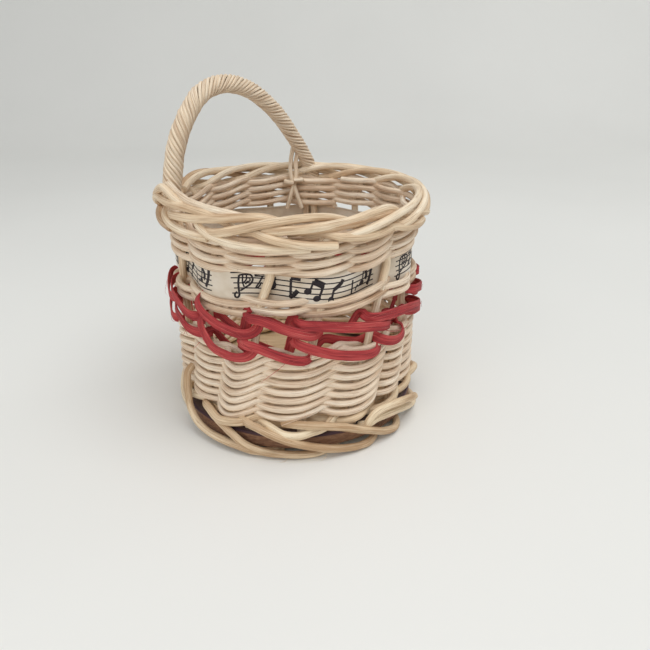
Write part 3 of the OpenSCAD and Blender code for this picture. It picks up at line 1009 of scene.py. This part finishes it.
def ribbon_line():
    """The ribbon's centre line: behind every other stake and in front of the ones between."""
    rows = []
    for s in JOIN_BAY + np.linspace(RIBBON_GAP, STAKES - RIBBON_GAP, 12 * STAKES + 1):
        angle = stake_angle(s, RIBBON_Z)
        height = RIBBON_Z + RIBBON_BACK_RISE * (1 - math.cos(math.radians(angle))) / 2
        rows.append((angle, STAKE_CIRCLE - RIBBON_REACH * math.cos(math.pi * s), height))
    return evenly(place(rows), 0.6)


def ribbon():
    """The satin strip as a thin closed band, with shallow waves and edges that curl in."""
    line = ribbon_line()
    along = lengths(line)
    out = outward(line)
    shape = Shape("ribbon_satin_band")
    columns = np.linspace(-RIBBON_W / 2, RIBBON_W / 2, 17)
    ripple = [0.18 * drift(len(line), 0.6, 9, shape.rng) for _ in range(3)]
    x = columns / (RIBBON_W / 2)
    waves = sum(part[:, None] * x ** power for power, part in enumerate(ripple))
    curl = -RIBBON_CURL * np.clip((np.abs(x) - 0.78) / 0.22, 0, 1) ** 1.5
    waves = waves + curl[None, :]
    layers = []
    for lift in (RIBBON_T / 2, -RIBBON_T / 2):
        raised = (waves + lift)[..., None] * out[:, None, :]
        layers.append(line[:, None, :] + raised + columns[None, :, None] * UP)
    rings = np.concatenate([layers[0], layers[1][:, ::-1]], 1)
    count, sides = rings.shape[:2]
    start = [[k, k + 1, sides - 2 - k, sides - 1 - k] for k in range(len(columns) - 1)]
    end = [[(count - 1) * sides + i for i in face[::-1]] for face in start]
    across = np.tile(np.concatenate([columns, columns[::-1]]), (count, 1))
    cloth = np.stack([0 * across, across, np.repeat(along[:, None], sides, 1)], 2)
    shape.add(rings.reshape(-1, 3), ring_faces(count, sides) + start + end, cloth.reshape(-1, 3), 0.5)
    band = show(shape, "ribbon_satin", "ribbon")
    printed = Print(line, along, out, waves, columns).all_round()


class Print:
    """The printed pattern: a wavy staff with notes and clefs, as thin ink on the ribbon's outer side.

    Its places are millimetres along the ribbon and up from its middle."""

    def __init__(self, line, along, out, waves, columns):
        self.shape = Shape("ribbon_print")
        self.line, self.along, self.out, self.waves, self.columns = line, along, out, waves, columns

    def raised(self, flat, lift):
        """Points in space for (along, up) rows, lifted off the ribbon's face."""
        u, v = flat.T
        base = sample(self.line, self.along, u)
        side = unit(sample(self.out, self.along, u))
        waves = sample(self.waves, self.along, u)
        wave = np.array([np.interp(y, self.columns, row) for y, row in zip(v, waves)])
        return base + (wave + RIBBON_T / 2 + lift)[:, None] * side + v[:, None] * UP

    def clear(self, u):
        """Whether each place along the ribbon is clear of its ends."""
        return (u > PRINT_MARGIN) & (u < self.along[-1] - PRINT_MARGIN)

    def stroke(self, points, width):
        """A line of ink through (along, up) points."""
        flat = evenly(points, 0.5)
        way = unit(np.gradient(flat, axis=0))
        cross = np.stack([-way[:, 1], way[:, 0]], 1) * width / 2
        edges = [(cross, INK_TOP), (-cross, INK_TOP), (-cross, INK_FOOT), (cross, INK_FOOT)]
        rings = np.stack([self.raised(flat + edge, lift) for edge, lift in edges], 1)
        grain = np.repeat(np.stack([0 * flat[:, 0], flat[:, 1], flat[:, 0]], 1), 4, axis=0)
        self.shape.add(rings.reshape(-1, 3), bar_faces(len(flat), 4), grain, 0.5)

    def blob(self, u, v, wide, high, tilt):
        """A filled oval of ink, a little proud of the strokes."""
        w = np.linspace(0, 2 * math.pi, 18, endpoint=False)
        x, y = wide * np.cos(w), high * np.sin(w)
        turned_x = x * math.cos(tilt) - y * math.sin(tilt)
        turned_y = x * math.sin(tilt) + y * math.cos(tilt)
        flat = np.stack([u + turned_x, v + turned_y], 1)
        faces = np.vstack([self.raised(flat, INK_TOP + 0.01), self.raised(flat, INK_FOOT)])
        grain = np.tile(np.stack([0 * x, flat[:, 1], flat[:, 0]], 1), (2, 1))
        self.shape.add(faces, bar_faces(2, len(w)), grain, 0.5)

    def once(self, start):
        """One length of the pattern from this place along the ribbon: the staff, then what fits on it."""
        rng = self.shape.rng
        for number in range(-2, 3):
            u = np.linspace(STAFF_FROM + rng.uniform(0, 1.2), STAFF_TO - rng.uniform(0, 1.4), 70)
            rows = np.stack([start + u, staff(u) + STAFF_GAP * number], 1)
            rows = rows[self.clear(rows[:, 0])]
            if len(rows) > 3:
                self.stroke(rows, STAFF_LINE)
        for points, width in PRINT_STROKES:
            if self.clear(start + np.array(points)[:, 0]).all():
                curve = smooth(points, 5)
                self.stroke(curve + np.stack([0 * curve[:, 0] + start, staff(curve[:, 0])], 1), width)
        for u, v, wide, high, tilt in PRINT_HEADS:
            if self.clear(start + u + np.array([-1, 1])).all():
                self.blob(start + u, v + float(staff(u)), wide, high, tilt)

    def all_round(self):
        """The pattern over and over, so that one clef stands where the picture shows it."""
        turned = np.unwrap(np.arctan2(self.line[:, 0], -self.line[:, 1]))
        clef_at = float(np.interp(math.radians(CLEF_ANGLE), turned, self.along))
        part = -math.ceil(clef_at / PRINT_LENGTH)
        while clef_at + part * PRINT_LENGTH < self.along[-1]:
            self.once(clef_at + part * (PRINT_LENGTH if part > 0 else PRINT_LENGTH_LEFT))
            part += 1
        return show(self.shape, "ribbon_satin", material=INK)


def staff(u):
    """How far the printed staff's middle line strays from the ribbon's middle."""
    return 0.6 * np.cos((u - 8) / 10.2) + 1.0


# ---- base


def base():
    """The board keeps its CAD shape and gets its wood."""
    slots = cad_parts["base_board"].data.materials
    slots.clear()
    slots.append(MATERIALS["base_wood"])


# ---- stage, light and camera


def stage():
    """A pale floor that curves up into a backdrop."""
    near, bend, bend_r, top, half_width = -0.9, 0.75, 0.45, 2.2, 1.8
    w = np.linspace(0, math.pi / 2, 24)
    y = [near, *(bend + bend_r * np.sin(w)), bend + bend_r]
    z = [0, *(bend_r - bend_r * np.cos(w)), top]
    points = [(x, *row) for x in (-half_width, half_width) for row in zip(y, z)]
    n = len(y)
    faces = [(i, i + n, i + n + 1, i + 1) for i in range(n - 1)]
    data = bpy.data.meshes.new("floor")
    data.from_pydata(points, [], faces)
    data.polygons.foreach_set("use_smooth", [True] * len(data.polygons))
    nodes = Nodes("floor_paper")
    where = nodes.node("ShaderNodeTexCoord").outputs["Object"]
    cloud = nodes.noise(where, (3, 3, 3), 2, 0.5)
    colour = nodes.ramp(cloud, [(0.3, (234, 234, 230)), (0.7, (238, 238, 234))])
    nodes.tree.links.new(colour, nodes.shader.inputs["Base Color"])
    nodes.shader.inputs["Roughness"].default_value = 0.9
    nodes.shader.inputs["Specular IOR Level"].default_value = 0.1
    data.materials.append(nodes.material)
    put("floor", data)


def area_light(name, place_at, aim, size, power):
    """A round soft lamp that faces its aim."""
    data = bpy.data.lights.new(name, "AREA")
    data.shape = "DISK"
    data.size = size
    data.energy = power
    lamp = put(name, data)
    lamp.location = place_at
    way = np.array(aim, float) - np.array(place_at, float)
    lamp.rotation_euler = (math.atan2(math.hypot(way[0], way[1]), -way[2]), 0, math.atan2(-way[0], way[1]))


def light():
    """An even pale sky and three soft lamps."""
    world = bpy.data.worlds.new("studio")
    world.use_nodes = True
    background = world.node_tree.nodes["Background"]
    background.inputs["Color"].default_value = (0.98, 0.99, 1.0, 1)
    background.inputs["Strength"].default_value = 0.53
    scene = bpy.context.scene
    scene.world = world
    scene.view_settings.view_transform = "Standard"
    area_light("soft_top", (0.25, -0.25, 0.95), (0, 0, 0.05), 0.8, 4.2)
    area_light("soft_left", (-0.45, -0.7, 0.45), (0, 0, 0.06), 0.6, 1.6)
    area_light("soft_back", (0.9, 0.5, 0.8), (0.55, 1.1, 0.3), 0.6, 1.3)


def camera():
    """The eye that sees the basket as the picture does: a little to its left, and from above."""
    data = bpy.data.cameras.new("camera")
    data.sensor_width = 36
    data.lens = LENS
    data.clip_start = 0.01
    eye = put("camera", data)
    eye.location = EYE
    eye.rotation_euler = (math.radians(90 - LOOK_DOWN), 0, math.radians(-LOOK_RIGHT))
    bpy.context.scene.camera = eye


camera()
stage()
light()
base()
weave()
stakes()
feet()
red_bands()
handle_core()
handle_rope()
handle_ends()
ribbon()
